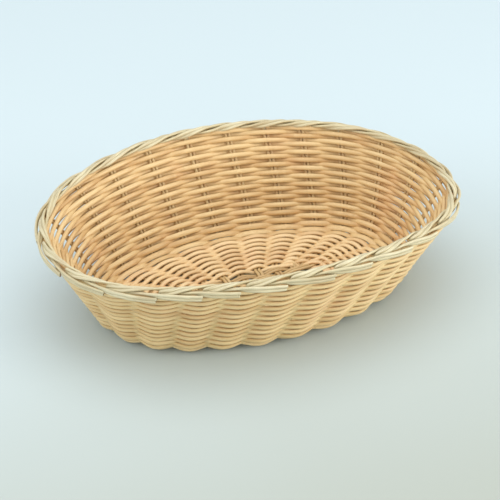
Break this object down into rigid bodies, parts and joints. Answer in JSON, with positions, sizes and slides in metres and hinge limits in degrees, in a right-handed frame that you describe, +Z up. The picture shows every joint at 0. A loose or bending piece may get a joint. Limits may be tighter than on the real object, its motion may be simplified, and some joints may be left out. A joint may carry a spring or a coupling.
{
  "type": "woven fruit basket",
  "caption": "Low oval basket with a flaring wall woven from round cane on paired stakes, finished with a rolled plaited border. Holds fruit or bread.",
  "frame": {"origin": "middle of the basket on the plane that it stands on", "axes": "+Z up, +X along the length, +Y across the width"},
  "size_m": [0.2297, 0.1696, 0.0558],
  "materials": {
    "weave": "satin natural cane, pale gold",
    "stake": "satin natural cane, straw",
    "border": "satin peeled cane, pale cream with a green tint"
  },
  "bodies": {
    "root": {"floor_rows_upper": "weave", "floor_rows_lower": "weave", "foot_rows_inside": "weave", "foot_rows_outside": "weave", "wall_rows_inside": "weave", "wall_rows_outside": "weave", "cross_stake_1": "stake", "cross_stake_2": "stake", "cross_stake_3": "stake", "cross_stake_4": "stake", "cross_stake_5": "stake", "cross_stake_6": "stake", "cross_stake_7": "stake", "long_stake_1": "stake", "long_stake_2": "stake", "long_stake_3": "stake", "long_stake_4": "stake", "long_stake_5": "stake", "border_rod_1": "border", "border_rod_2": "border", "border_rod_3": "border", "border_rod_4": "border", "border_rod_5": "border", "border_rod_6": "border", "border_rod_7": "border", "border_rod_8": "border", "border_rod_9": "border", "border_rod_10": "border", "border_rod_11": "border", "border_rod_12": "border", "border_rod_13": "border", "border_rod_14": "border", "border_rod_15": "border", "border_rod_16": "border", "border_rod_17": "border", "border_rod_18": "border", "border_rod_19": "border", "border_rod_20": "border", "border_rod_21": "border", "border_rod_22": "border", "border_rod_23": "border", "border_rod_24": "border"}
  },
  "joints": []
}
